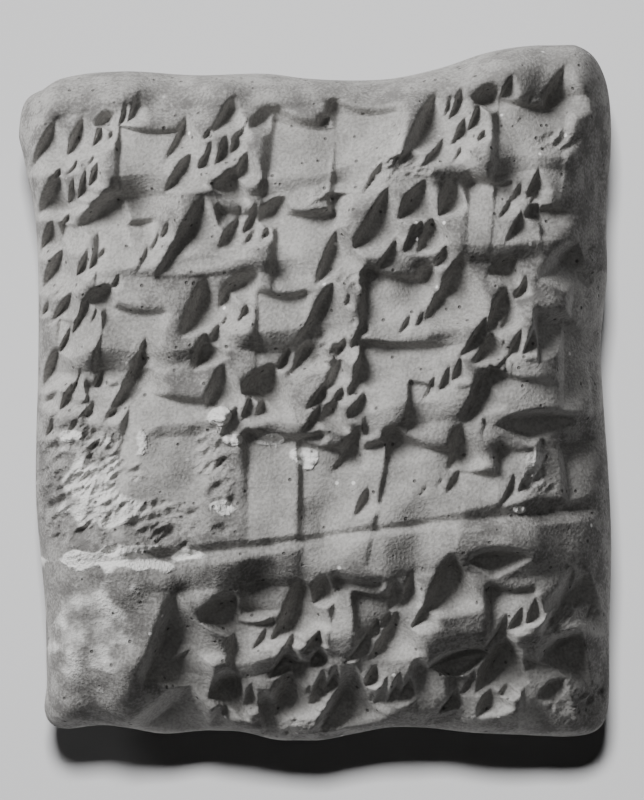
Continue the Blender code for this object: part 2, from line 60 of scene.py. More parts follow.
tablet = {
    "width": 30.7 * mm,
    "height": 36.0 * mm,
    "thickness": 15.0 * mm,
    "belt": 7.0 * mm,               # height of the widest line
    "flatSink": 0.08 * mm,          # how much of the back is rubbed off flat
    "backSwell": 0.16 * mm,
    "backPitch": 9 * mm,
    "frontSquareness": 3.6,
    "backSquareness": 2.8,
    "middleSquareness": 5.0,
    "cornerSquareness": 22.0,
    "cornerFrom": 0.75,             # shares out from the middle where the corners begin
    "cornerFade": 0.8,
    "insetFrom": 0.45,              # and where the uneven sides begin to tell
    "faceZone": (0.15, 0.6),        # heights, as shares, over which the face's relief sets in
    "backZone": (0.1, 0.5),
    "flatZone": (0.9, 0.99),
    "sideZone": (0.9, 1),
    "sideHeights": (0.3, 0.9),
    "cuts": ((17, 17), (17, 20), (9, 11)),  # two rounds of cuts along x, y and z
    "frontLoad": 1.5,               # over 1 puts more of the cuts near the written face
    "softening": 0.5,
    "softenRounds": 1,
    "triangles": 190000,
}

relief = {
    "stretch": 1.14,                # all strokes are this much longer than in the rows below
    "shake": 0.12 * mm,
    "turn": 4.0,                    # degrees
    "lip": 0.10 * mm,               # clay pushed up beside a stroke
    "lipReach": 0.22 * mm,
    "bulge": 0.42 * mm,
    "bulgeReach": 1.0 * mm,
    "bulgePower": 1.5,
    "leastLip": 0.3,                # share of the lip on a stroke's gentle side
    "rimShare": 0.6,                # where the lip stands on the rim
    "lipLimit": 0.6 * mm,
    "lipFade": 0.45 * mm,
    "pitShare": 0.3,
    "pitReach": 0.7 * mm,
    "leastShoulder": 0.25 * mm,
    "runout": (0.5, 0.3),           # slopes of a panel past its width and length
    "overrun": 1.2,
    "headSlope": 2.2,
    "tailSlope": 0.8,
    "tipPower": 1.3,                # over 1 makes a stroke's ends less pointed
    "fanSlits": 3,
    "fanStep": 0.042,
    "fanRise": 0.25,
    "fanFall": 0.12,
    "terrace": 1.12 * mm,
    "terraceReach": 5.2 * mm,
    "terraceShoulder": 2.0 * mm,
    "terraceWander": 0.35 * mm,
    "terracePitch": 7.5 * mm,
    "terraceShare": 0.65,
    "terraceChange": 0.4,           # how much the share comes and goes along a row
    "terraceMost": 1.2,
    "terraceFade": 0.13,            # share of half the width in which a row's step begins
    "ruled": 0.42 * mm,
    "ruledExtra": 0.20 * mm,        # deeper towards the right
    "ruledUp": -0.41,               # share of half the height in the middle
    "ruledRise": 0.08,
    "ruledSway": 0.012,
    "ruledLower": 0.60 * mm,        # reach of the groove below the line and above it
    "ruledUpper": 0.45 * mm,
    "ruledWider": 0.35 * mm,
    "ruledEnds": (-0.86, -0.6, 0.88, 0.96),
    "swell": 0.24 * mm,
    "swellPitch": 4.6 * mm,
    "dimple": 0.09 * mm,
    "dimplePitch": 2.0 * mm,
    "shoulder": 1.1 * mm,           # how far the right edge falls away, least near its middle
    "shoulderFrom": 0.66,
    "shoulderLeast": 0.45,
    "shoulderMiddle": -0.05,
    "shoulderSpread": (0.25, 0.5),
    "foot": 1.5 * mm,               # how far the foot falls away
    "footUp": (-0.4, -1),
    "footAcross": (-0.75, -0.35),
}

leftInset = [
    (-1.0, 1.0), (-0.93, 1.1), (-0.86, 1.38), (-0.78, 1.44), (-0.65, 1.42), (-0.5, 1.15), (-0.35, 0.93),
    (-0.15, 0.9), (0.0, 0.98), (0.2, 1.0), (0.38, 1.0), (0.53, 0.8), (0.64, 0.5), (0.74, 0.25), (0.82, 0.0),
    (1.0, 0.0),
]
rightInset = [
    (-1.0, 0.08), (-0.7, 0.15), (-0.4, 0.13), (-0.2, 0.22), (-0.08, 0.42), (0.02, 0.58), (0.13, 0.64),
    (0.22, 0.5), (0.32, 0.3), (0.45, 0.33), (0.6, 0.3), (0.72, 0.1), (0.82, 0.0), (1.0, 0.0),
]
bottomInset = [
    (-1.0, 0.3), (-0.9, 0.45), (-0.82, 0.68), (-0.74, 0.8), (-0.64, 0.68), (-0.52, 0.38), (-0.35, 0.45),
    (-0.24, 0.38), (-0.14, 0.04), (0.02, 0.02), (0.13, 0.35), (0.25, 0.65), (0.35, 0.62), (0.5, 0.4),
    (0.7, 0.28), (0.85, 0.15), (1.0, 0.12),
]
topInset = [
    (-1.0, 2.1), (-0.92, 2.15), (-0.88, 1.85), (-0.8, 1.6), (-0.65, 1.48), (-0.45, 1.6), (-0.15, 1.58),
    (-0.04, 1.82), (0.13, 1.9), (0.25, 1.8), (0.42, 1.25), (0.58, 0.48), (0.75, 0.0), (0.88, 0.05),
    (0.935, 0.45), (1.0, 1.5),
]

# heading, share where it is deepest, share kept at the tail, reach, shoulder, press, bow;
# a panel has its falls across and down in the second and third place
strokeKinds = {
    "panel": (-4.0, 0.30, 0.80, 0.62, 1.0, 0.85, 0.05),
    "upright": (98.0, 0.93, 0.40, 0.80, 0.9, 1.0, 0.03),
    "lens": (63.0, 0.55, 0.0, 0.62, 0.75, 0.88, 0.07),
    "slit": (62.0, 0.50, 0.0, 0.45, 0.55, 1.0, 0.08),
    "gash": (7.0, 0.40, 0.0, 0.32, 0.6, 1.0, -0.04),
    "shelf": (-2.0, 0.12, 0.10, 0.90, 1.1, 0.9, 0.05),
    "hook": (38.0, 0.55, 0.0, 0.95, 0.95, 0.95, 0.08),
}

rows = [
    (0.770, 0.860, -0.93, [
        ("lens", -0.85, 0.0, 3.1, 0.75), ("lens", -0.775, -0.2, 2.8, 0.55),
        ("slit", -0.775, 2.0, 1.3, 0.25), ("slit", -0.73, 1.5, 1.1, 0.2), ("slit", -0.85, 2.3, 1.1, 0.3),
        ("lens", -0.84, 2.7, 2.6, 0.95), ("hook", -0.655, -0.25, 1.3, 0.7),
        ("slit", -0.585, -1.15, 2.2, 0.4), ("panel", -0.65, 0.55, 4.4, 0.42),
        ("lens", -0.415, 0.1, 2.9, 0.6), ("lens", -0.405, 1.9, 2.6, 0.85), ("slit", -0.73, 2.7, 1.9, 0.3),
        ("lens", -0.26, -0.6, 2.3, 0.55), ("slit", -0.35, 0.85, 1.1, 0.25),
        ("slit", -0.22, 0.25, 1.9, 0.3), ("lens", -0.22, 1.8, 2.3, 0.55), ("hook", -0.24, 3.2, 1.7, 0.6),
        ("panel", -0.135, 0.6, 4.3, 0.85), ("hook", -0.12, 0.2, 1.8, 0.8),
        ("panel", 0.05, 0.5, 4.2, 0.75), ("hook", 0.055, 0.3, 1.4, 0.6), ("slit", 0.145, 2.1, 1.2, 0.3),
        ("lens", 0.40, -0.3, 3.5, 0.9), ("slit", 0.455, -0.2, 2.3, 0.35),
        ("slit", 0.495, -0.5, 2.5, 0.45), ("slit", 0.48, 1.0, 2.5, 0.3), ("slit", 0.49, 1.9, 1.6, 0.3),
        ("hook", 0.61, -0.5, 1.5, 0.9), ("slit", 0.65, -1.2, 2.2, 0.45), ("slit", 0.565, 1.4, 1.2, 0.4),
        ("panel", 0.60, 0.3, 4.8, 0.6), ("lens", 0.73, -0.05, 2.9, 0.55), ("lens", 0.83, -1.6, 3.2, 0.75),
        ("shelf", 0.72, 1.8, 2.3, 0.35), ("hook", 0.35, 2.1, 2.9, 0.4), ("fan", -0.80, 2.6, 2.6, 0.40),
        ("fan", -0.33, 1.4, 2.6, 0.40), ("fan", 0.46, 0.6, 3.2, 0.46), ("fan", -0.70, -0.2, 2.6, 0.40),
        ("fan", 0.20, 3.0, 2.3, 0.34),
    ]),
    (0.505, 0.626, -0.93, [
        ("lens", -0.855, 0.2, 2.4, 0.6), ("lens", -0.845, 1.5, 2.8, 0.85),
        ("hook", -0.63, -0.8, 2.9, 0.9), ("slit", -0.81, 0.0, 1.1, 0.4),
        ("panel", -0.71, 0.55, 3.9, 0.42), ("panel", -0.83, 0.7, 1.8, 0.25),
        ("lens", -0.70, 1.8, 1.4, 0.45), ("lens", -0.37, -0.1, 4.3, 1.05),
        ("slit", -0.31, 0.5, 2.6, 0.35), ("hook", -0.09, 0.0, 2.2, 1.0), ("panel", -0.33, 0.9, 2.6, 0.3),
        ("slit", -0.17, 1.0, 2.3, 0.5), ("slit", -0.14, 1.2, 1.6, 0.5), ("panel", -0.135, 1.0, 4.0, 0.6),
        ("upright", 0.045, 0.1, 1.8, 0.5), ("lens", 0.07, 1.5, 3.2, 0.9), ("lens", 0.235, -0.3, 4.1, 0.7),
        ("lens", 0.37, -0.4, 2.9, 0.9), ("lens", 0.46, -0.1, 2.2, 0.75), ("lens", 0.395, 1.4, 2.3, 0.85),
        ("slit", 0.425, 2.3, 2.4, 0.3), ("panel", 0.50, 0.0, 3.0, 0.45), ("panel", 0.60, 0.5, 3.2, 0.35),
        ("lens", 0.665, 1.3, 2.3, 0.5), ("slit", 0.73, -0.8, 2.3, 0.5), ("hook", 0.76, 1.3, 1.3, 0.6),
        ("shelf", 0.75, 1.6, 2.0, 0.35), ("hook", 0.87, 3.3, 2.6, 0.8), ("hook", 0.13, 3.2, 2.0, 0.5),
        ("fan", -0.80, 2.2, 2.4, 0.40), ("fan", -0.27, 0.6, 3.2, 0.52), ("fan", 0.28, 1.8, 2.9, 0.46),
        ("fan", 0.66, 0.2, 2.6, 0.40), ("fan", -0.55, 1.2, 2.6, 0.29),
    ]),
    (0.295, 0.372, -0.93, [
        ("slit", -0.885, 0.6, 1.1, 0.4), ("lens", -0.80, 0.0, 2.3, 0.5), ("lens", -0.74, 0.0, 3.5, 0.6),
        ("lens", -0.845, 2.8, 2.6, 0.85), ("hook", -0.665, 0.15, 1.7, 0.8),
        ("slit", -0.63, -0.6, 1.4, 0.3), ("panel", -0.70, 1.1, 4.2, 0.42),
        ("panel", -0.84, 1.8, 2.2, 0.3), ("lens", -0.355, 0.0, 3.1, 0.95),
        ("lens", -0.355, 2.4, 2.1, 0.7), ("lens", -0.265, 0.0, 2.6, 0.7), ("slit", -0.275, 2.5, 1.4, 0.3),
        ("hook", -0.17, 0.0, 2.1, 0.8), ("panel", -0.195, 1.0, 3.4, 0.5), ("lens", -0.56, 2.2, 3.0, 0.5),
        ("lens", 0.065, 0.1, 3.9, 0.8), ("slit", 0.12, 1.0, 1.2, 0.25), ("slit", 0.125, 1.9, 1.0, 0.25),
        ("panel", 0.16, 0.1, 4.4, 0.5), ("hook", 0.385, 0.0, 1.4, 0.7), ("slit", 0.30, 0.7, 1.2, 0.25),
        ("slit", 0.37, 0.9, 1.4, 0.3), ("lens", 0.50, -0.8, 4.3, 0.9), ("hook", 0.665, -0.7, 1.7, 0.5),
        ("lens", 0.635, 1.0, 2.4, 0.65), ("slit", 0.70, 0.6, 1.3, 0.45), ("shelf", 0.71, 2.7, 2.6, 0.8),
        ("panel", 0.86, 0.4, 3.6, 0.5), ("hook", 0.30, 3.0, 2.9, 0.45), ("lens", -0.02, 2.9, 2.6, 0.6),
        ("fan", -0.80, 1.2, 2.9, 0.46), ("fan", -0.30, 1.2, 2.9, 0.46), ("fan", 0.10, 2.4, 2.6, 0.40),
        ("fan", 0.56, 2.0, 2.9, 0.46), ("fan", 0.32, 1.6, 2.3, 0.34),
    ]),
    (0.050, 0.180, -0.93, [
        ("hook", -0.84, 1.0, 1.5, 0.4), ("slit", -0.87, 2.0, 1.4, 0.4), ("lens", -0.56, -1.0, 4.2, 0.75),
        ("panel", -0.61, 1.1, 6.4, 0.55), ("lens", -0.29, 0.2, 3.0, 0.85),
        ("panel", -0.74, 0.9, 2.2, 0.3), ("hook", -0.12, 0.5, 2.4, 0.8), ("slit", -0.095, -0.5, 1.7, 0.4),
        ("lens", 0.075, 0.2, 2.2, 0.75), ("hook", 0.09, 2.4, 1.7, 0.8), ("shelf", 0.13, -0.2, 5.2, 0.6),
        ("lens", 0.18, -0.1, 3.0, 0.85), ("panel", 0.27, 0.9, 2.6, 0.3), ("shelf", 0.30, 2.1, 3.4, 0.35),
        ("lens", 0.19, 1.5, 2.7, 0.5), ("lens", 0.575, -0.6, 2.1, 0.8), ("slit", 0.62, 0.2, 1.4, 0.4),
        ("lens", 0.56, 1.5, 2.8, 0.85), ("shelf", 0.57, 1.9, 3.6, 0.45), ("panel", 0.82, -0.2, 4.0, 0.45),
        ("upright", 0.90, 1.3, 2.6, 0.4), ("shelf", 0.62, 0.6, 2.4, 0.3), ("shelf", 0.64, 1.2, 2.2, 0.25),
        ("fan", -0.80, 0.2, 2.6, 0.40), ("fan", -0.24, 1.6, 2.9, 0.46), ("fan", 0.40, 1.0, 2.6, 0.34),
        ("fan", 0.02, 1.6, 2.6, 0.40), ("fan", 0.70, -0.6, 2.6, 0.40),
    ]),
    (-0.130, -0.100, -0.62, [
        ("panel", -0.235, 0.2, 5.2, 0.45), ("panel", -0.14, 0.9, 4.2, 0.3),
        ("panel", -0.05, 0.6, 5.8, 0.55), ("lens", 0.16, -0.2, 3.0, 0.9), ("lens", 0.18, 2.4, 2.1, 0.7),
        ("panel", 0.25, 0.4, 5.8, 0.6), ("lens", 0.48, -0.4, 2.8, 0.9), ("lens", 0.475, 1.7, 2.1, 0.7),
        ("gash", 0.88, -0.5, 4.0, 0.85), ("shelf", 0.49, 2.0, 2.8, 0.4), ("panel", 0.62, 0.9, 2.4, 0.28),
        ("panel", 0.74, 0.7, 2.4, 0.25), ("upright", 0.81, 0.6, 3.0, 0.45),
        ("panel", 0.40, 2.4, 2.4, 0.3), ("fan", 0.08, 0.8, 2.6, 0.40), ("fan", 0.40, 1.6, 2.6, 0.40),
        ("fan", 0.66, 1.8, 2.3, 0.34),
    ]),
    (-0.600, -0.480, -0.62, [
        ("lens", -0.46, -0.1, 4.6, 1.2), ("hook", -0.25, 0.1, 2.2, 1.1), ("shelf", -0.26, 0.8, 2.0, 0.5),
        ("lens", -0.055, -0.6, 3.4, 1.0), ("panel", -0.27, 1.7, 2.8, 0.5), ("slit", -0.08, 1.8, 1.7, 0.5),
        ("slit", -0.06, 2.6, 2.4, 0.7), ("slit", 0.02, 2.0, 1.6, 0.5), ("slit", 0.0, 2.9, 1.8, 0.5),
        ("slit", -0.01, 1.3, 1.1, 0.4), ("lens", 0.045, -0.3, 1.9, 0.9), ("panel", 0.08, 0.0, 3.0, 0.4),
        ("panel", 0.135, 0.6, 4.2, 0.45), ("lens", 0.26, -0.4, 2.2, 0.6), ("lens", 0.265, 1.2, 3.4, 0.8),
        ("slit", 0.31, -0.4, 2.6, 0.5), ("lens", 0.47, -1.1, 3.5, 0.9), ("gash", 0.72, -0.3, 3.0, 0.95),
        ("panel", 0.58, 0.9, 3.0, 0.35), ("hook", 0.90, 0.2, 2.9, 0.9), ("lens", 0.84, 0.2, 3.4, 0.9),
        ("hook", -0.36, 1.9, 3.3, 0.9), ("slit", 0.36, 1.0, 1.9, 0.5), ("fan", -0.14, 1.2, 2.6, 0.46),
        ("fan", 0.18, 1.6, 2.6, 0.46), ("fan", 0.40, 0.4, 2.6, 0.40), ("fan", 0.64, 1.6, 2.6, 0.46),
    ]),
    (-0.830, -0.710, -0.62, [
        ("hook", -0.40, 0.0, 4.0, 1.0), ("hook", -0.24, 0.3, 2.0, 1.2), ("lens", -0.075, -0.1, 3.2, 1.2),
        ("upright", -0.085, -0.2, 2.0, 0.5), ("lens", 0.14, 0.1, 3.7, 1.2), ("slit", 0.20, 0.2, 1.6, 0.6),
        ("slit", 0.20, 1.3, 1.2, 0.5), ("gash", 0.60, 0.2, 3.4, 0.95), ("panel", 0.35, 0.5, 2.5, 0.35),
        ("panel", 0.44, 1.0, 3.0, 0.35), ("lens", 0.64, -1.1, 3.7, 1.2), ("lens", 0.575, 1.3, 2.2, 0.8),
        ("lens", 0.645, 1.2, 1.5, 0.7), ("panel", 0.70, 0.6, 3.4, 0.35), ("hook", 0.88, -0.8, 2.6, 1.0),
        ("hook", 0.83, 1.5, 1.8, 0.8), ("shelf", -0.20, 1.9, 3.0, 0.8), ("slit", 0.02, 0.9, 1.9, 0.6),
        ("fan", -0.02, 0.4, 2.6, 0.52), ("fan", 0.24, 0.8, 2.6, 0.46), ("fan", 0.50, 0.8, 2.6, 0.46),
        ("fan", -0.30, 1.2, 2.6, 0.46),
    ]),
]

surface = {
    "sideWave": 0.035 * mm,
    "sidePitch": 7.0 * mm,
    "crumble": 0.24 * mm,           # how rough the worn places are
    "crumblePitch": 0.9 * mm,
    "crumbleSink": 0.4,
    "crumbleSizes": ((1, 1), (0.5, 0.55), (0.27, 0.3)),     # shares of the pitch and the height
    "streak": 2.8,                  # how far the roughness is drawn out along its slant
    "slant": (0.82, 0.57),
    "wornFill": 0.6,                # how much of a stroke is lost in a worn place
    "crumb": 0.20 * mm,             # how far the loose crumbs stand up
    "crumbPitch": 0.42 * mm,
    "ragged": 0.28,                 # of each worn or crusted place's edge
    "raggedPitch": 1.6 * mm,
    "fade": (1.25, 0.65),           # shares of a place's size from which it fades in
}

# one number for each kind of unevenness, so that it comes out the same every time
seeds = {
    "swell": 3,
    "dimple": 4,
    "strokes": 5,
    "back": 8,
    "sides": 17,
    "ragged": 21,
    "crumble": 31,
    "crumbs": 37,
    "terraceEdge": 40,
    "terraceShare": 60,
}

# shares across and up, half width, half height and strength of each place
wornPlaces = [
    (-0.78, -0.235, 0.17, 0.19, 1.0), (-0.50, -0.365, 0.16, 0.06, 0.7), (-0.325, -0.19, 0.07, 0.13, 0.8),
    (0.025, 0.525, 0.05, 0.04, 0.7), (0.14, 0.315, 0.06, 0.03, 0.6), (0.025, 0.10, 0.05, 0.07, 0.9),
    (0.80, 0.71, 0.08, 0.03, 0.6), (0.725, -0.235, 0.07, 0.07, 0.6), (0.85, -0.63, 0.08, 0.05, 0.7),
    (0.86, -0.875, 0.08, 0.06, 0.7), (-0.02, -0.955, 0.15, 0.03, 0.8), (0.42, -0.935, 0.12, 0.05, 0.6),
    (0.27, 0.64, 0.10, 0.04, 0.7), (-0.60, 0.05, 0.04, 0.10, 0.4), (0.92, 0.20, 0.05, 0.30, 0.4),
]
crustPlaces = [
    (-0.66, -0.475, 0.20, 0.030, 1.0), (-0.44, -0.462, 0.06, 0.018, 1.0), (-0.74, -0.68, 0.15, 0.15, 0.5),
    (-0.74, -0.27, 0.11, 0.12, 0.7), (-0.82, -0.12, 0.05, 0.02, 0.8), (-0.66, -0.33, 0.10, 0.05, 0.7),
    (-0.29, -0.335, 0.05, 0.014, 0.9), (0.72, -0.22, 0.05, 0.05, 0.5), (-0.575, -0.15, 0.02, 0.03, 0.8),
]
crumbPlaces = [
    (-0.33, -0.075, 0.045, 0.030, 1.0), (-0.27, -0.13, 0.03, 0.018, 1.0), (-0.16, -0.14, 0.055, 0.018, 1.0),
    (-0.02, -0.18, 0.065, 0.026, 1.0), (-0.32, -0.32, 0.04, 0.015, 0.8), (0.335, 0.43, 0.010, 0.012, 1.0),
    (-0.60, -0.44, 0.10, 0.014, 0.6), (-0.42, -0.455, 0.05, 0.012, 0.8), (0.67, -0.33, 0.02, 0.010, 0.8),
]


def smooth(start, end, value):
    share = np.clip((value - start) / (end - start), 0.0, 1.0)
    return share * share * (3.0 - 2.0 * share)


def through(points, at):
    # a smooth curve through a few points, never below 0
    places = np.array([point[0] for point in points])
    values = np.array([point[1] for point in points])
    slopes = np.gradient(values, places)
    at = np.clip(at, places[0], places[-1])
    index = np.clip(np.searchsorted(places, at) - 1, 0, len(places) - 2)
    span = places[index + 1] - places[index]
    share = (at - places[index]) / span
    start = values[index] * (1 + 2 * share) * (1 - share) ** 2
    end = values[index + 1] * share ** 2 * (3 - 2 * share)
    leaving = slopes[index] * span * share * (1 - share) ** 2
    arriving = slopes[index + 1] * span * share ** 2 * (share - 1)
    return np.maximum(start + end + leaving + arriving, 0)


def waves(x, y, pitch, seed, count=9):
    draw = np.random.default_rng(seed)
    total = np.zeros_like(x)
    for _ in range(count):
        angle = draw.uniform(0, 2 * math.pi)
        length = pitch * draw.uniform(0.7, 1.6)
        phase = draw.uniform(0, 2 * math.pi)
        along = x * math.cos(angle) + y * math.sin(angle)
        total = total + np.sin(2 * math.pi * along / length + phase)
    return total / math.sqrt(count)


def plan(u, v):
    # shares across and up become a place between the four uneven sides
    nearLeft, nearRight = smooth(tablet["insetFrom"], 1, -u), smooth(tablet["insetFrom"], 1, u)
    nearBottom, nearTop = smooth(tablet["insetFrom"], 1, -v), smooth(tablet["insetFrom"], 1, v)
    x = u * tablet["width"] / 2
    x = x + nearLeft * through(leftInset, v) * mm - nearRight * through(rightInset, v) * mm
    y = v * tablet["height"] / 2
    y = y + nearBottom * through(bottomInset, u) * mm - nearTop * through(topInset, u) * mm
    return x, y


def arch(share):
    # 0 at both ends and 1 in the middle
    return 1 - (2 * np.clip(share, 0, 1) - 1) ** 2


def lip(depth, lateral, beyond, side):
    # a narrow lip on a broad low bulge, highest on the steep side
    away = np.hypot(np.maximum(lateral, 0), np.maximum(beyond, 0))
    raised = relief["lip"] * np.exp(-away / relief["lipReach"])
    raised = raised + relief["bulge"] * np.exp(-(away / relief["bulgeReach"]) ** relief["bulgePower"])
    raised = raised * (relief["leastLip"] + (1 - relief["leastLip"]) * side)
    return min(depth / mm, 1.0) * raised


def panel(x, y, kind, tip, length, depth, turn):
    # a broad facet, deepest at its upper left corner
    heading, fallAcross, fallDown, reach, shoulder, press, bow = strokeKinds[kind]
    length = length * relief["stretch"]
    wide = reach * length
    depth = depth * press
    rim = shoulder * (relief["leastShoulder"] + depth)
    cosine = math.cos(math.radians(heading + turn))
    sine = math.sin(math.radians(heading + turn))
    right = (x - tip[0]) * cosine + (y - tip[1]) * sine
    below = (x - tip[0]) * sine - (y - tip[1]) * cosine - bow * length * arch(right / wide)
    inside = np.maximum(right, 0)
    under = np.maximum(below, 0)
    floor = depth * (1 - fallAcross * inside / wide - fallDown * under / length)
    floor = floor - relief["runout"][0] * np.maximum(inside - wide, 0)
    floor = floor - relief["runout"][1] * np.maximum(under - length, 0)
    outside = np.hypot(np.minimum(right, 0), np.minimum(below, 0))
    bite = np.maximum(floor, 0) * np.clip(1 - outside / rim, 0, 1) ** 2
    corner = np.hypot(right, below)
    bite = bite + relief["pitShare"] * depth * np.exp(-(corner / relief["pitReach"]) ** 2)
    lateral = np.maximum(-right, right - relief["overrun"] * wide) - relief["rimShare"] * rim
    beyond = np.maximum(-below, below - relief["overrun"] * length) - relief["rimShare"] * rim
    side = smooth(0.5 * mm, -0.3 * mm, np.minimum(right, below) - 0.15 * corner)
    return bite, lip(depth, lateral, beyond, side)


def wedge(x, y, kind, tip, length, depth, turn):
    # a stroke along a line: a broad facet on one side, a steep rounded wall on the other
    heading, deepest, kept, reach, shoulder, press, bow = strokeKinds[kind]
    length = length * relief["stretch"]
    depth = depth * press
    rim = shoulder * (relief["leastShoulder"] + depth)
    cosine = math.cos(math.radians(heading + turn))
    sine = math.sin(math.radians(heading + turn))
    startX, startY = tip
    if kind != "shelf":             # a shelf starts at its left end, the others end at their top
        startX = startX - cosine * length
        startY = startY - sine * length
    along = ((x - startX) * cosine + (y - startY) * sine) / length
    across = (x - startX) * sine - (y - startY) * cosine - bow * length * arch(along)
    if kind in ("upright", "shelf"):
        head = (1 - along) if kind == "upright" else along
        rising = along / deepest if kind == "upright" else (1 - along) / (1 - deepest)
        line = depth * (kept + (1 - kept) * rising)
        ends = relief["headSlope"] * head * length, relief["tailSlope"] * (1 - head) * length
        line = np.minimum(line, np.minimum(*ends))
    else:
        half = np.where(along > deepest, 1 - deepest, deepest)
        line = depth * (1 - np.abs((along - deepest) / half) ** relief["tipPower"])
    line = np.maximum(line, 0)
    broad = reach * length * line / depth + tiny
    facet = np.clip(1 - across / broad, 0, 1)
    wall = np.clip(1 + across / rim, 0, 1) ** 2
    bite = line * np.where(across > 0, facet, wall)
    beyond = np.maximum(-along, along - 1) * length
    lateral = np.where(across > 0, across - broad, -across - relief["rimShare"] * rim)
    side = smooth(1, -1, across / (0.15 * mm + 1.2 * np.maximum(beyond, 0)))
    return bite, lip(depth, lateral, beyond, side)


def spreadOut(marks):
    # a fan is a few slits side by side
    for kind, place, drop, length, depth in marks:
        if kind != "fan":
            yield kind, place, drop, length, depth
            continue
        for step in range(relief["fanSlits"]):
            shorter = length * (1 - relief["fanFall"] * step)
            yield "slit", place + relief["fanStep"] * step, drop - relief["fanRise"] * step, shorter, depth


def strokes(x, y):
    draw = np.random.default_rng(seeds["strokes"])
    deep = np.zeros_like(x)
    lips = np.zeros_like(x)
    for left, right, _, marks in rows:
        for kind, place, drop, length, depth in spreadOut(marks):
            turn = draw.normal(0, relief["turn"])
            top = (left + (right - left) * (place + 1) / 2) * tablet["height"] / 2
            tipX = place * tablet["width"] / 2 + draw.normal(0, relief["shake"])
            tipY = top - drop * mm + draw.normal(0, relief["shake"])
            cut = panel if kind == "panel" else wedge
            bite, raised = cut(x, y, kind, (tipX, tipY), length * mm, depth * mm, turn)
            deep = np.maximum(deep, bite)
            lips = lips + raised
    lips = relief["lipLimit"] * np.tanh(lips / relief["lipLimit"])
    return deep, lips * (1 - smooth(0, relief["lipFade"], deep))


def terraces(x, y):
    # each row is pressed in like a step, steep at its top and shallower further down
    u = x / (tablet["width"] / 2)
    still = np.zeros_like(y)
    deep = np.zeros_like(x)
    for index, (left, right, start, _) in enumerate(rows):
        wander = waves(x, still, relief["terracePitch"], seeds["terraceEdge"] + index)
        change = waves(x, still, relief["terracePitch"], seeds["terraceShare"] + index)
        top = (left + (right - left) * (u + 1) / 2) * tablet["height"] / 2
        top = top + relief["terraceWander"] * wander
        share = relief["terraceShare"] + relief["terraceChange"] * change
        share = np.clip(share, 0, relief["terraceMost"]) * smooth(start, start + relief["terraceFade"], u)
        below = top - y
        above = np.clip(1 + below / relief["terraceShoulder"], 0, 1) ** 2
        floor = np.where(below > 0, 1 - below / relief["terraceReach"], above)
        deep = np.maximum(deep, relief["terrace"] * share * floor)
    return deep


def ruledLine(x, y):
    u = x / (tablet["width"] / 2)
    line = relief["ruledUp"] + relief["ruledRise"] * u + relief["ruledSway"] * np.sin(3 * u)
    below = line * tablet["height"] / 2 - y
    right = smooth(0, 0.9, u)
    upper = relief["ruledUpper"] + relief["ruledWider"] * right
    groove = np.where(below > 0, 1 - below / relief["ruledLower"], 1 + below / upper)
    leftEnd, leftFull, rightFull, rightEnd = relief["ruledEnds"]
    ends = smooth(leftEnd, leftFull, u) * (1 - smooth(rightFull, rightEnd, u))
    return (relief["ruled"] + relief["ruledExtra"] * right) * ends * np.maximum(0, groove)


def spots(places, x, y):
    # how far each point lies in any of the places, with ragged edges
    u = x / (tablet["width"] / 2)
    v = y / (tablet["height"] / 2)
    edge = surface["ragged"] * waves(x, y, surface["raggedPitch"], seeds["ragged"], 14)
    cover = np.zeros_like(x)
    for across, up, wide, tall, strength in places:
        away = np.hypot((u - across) / wide, (v - up) / tall) + edge
        cover = np.maximum(cover, strength * smooth(*surface["fade"], away))
    return cover


def crumble(x, y, pitch, seed):
    # craggy noise from 0 to about 1, in a few sizes, drawn out along a slant
    along, up = surface["slant"]
    x, y = (along * x + up * y) / surface["streak"], along * y - up * x
    rough = np.zeros_like(x)
    for index, (part, high) in enumerate(surface["crumbleSizes"]):
        rough = rough + high * np.abs(waves(x, y, part * pitch, seed + index, 16))
    return rough / sum(high for _, high in surface["crumbleSizes"])


def pillow(p, q, r):
    # a cube's points from -1 to 1 become shares across, up and through a squarish pillow
    outward = (np.abs(p) ** 8 + np.abs(q) ** 8) ** (1 / 8)
    cornered = smooth(tablet["cornerFrom"], 1, outward)
    cornered = cornered * (1 - tablet["cornerFade"] * smooth(0, 1, np.abs(r)))
    middle = tablet["middleSquareness"]
    square = middle + (tablet["cornerSquareness"] - middle) * cornered
    flat = (np.abs(p) ** square + np.abs(q) ** square) ** (1 / square)
    bulge = np.where(r > 0, tablet["frontSquareness"], tablet["backSquareness"])
    spread = (flat ** bulge + np.abs(r) ** bulge) ** (1 / bulge)
    return p / spread, q / spread, r / spread


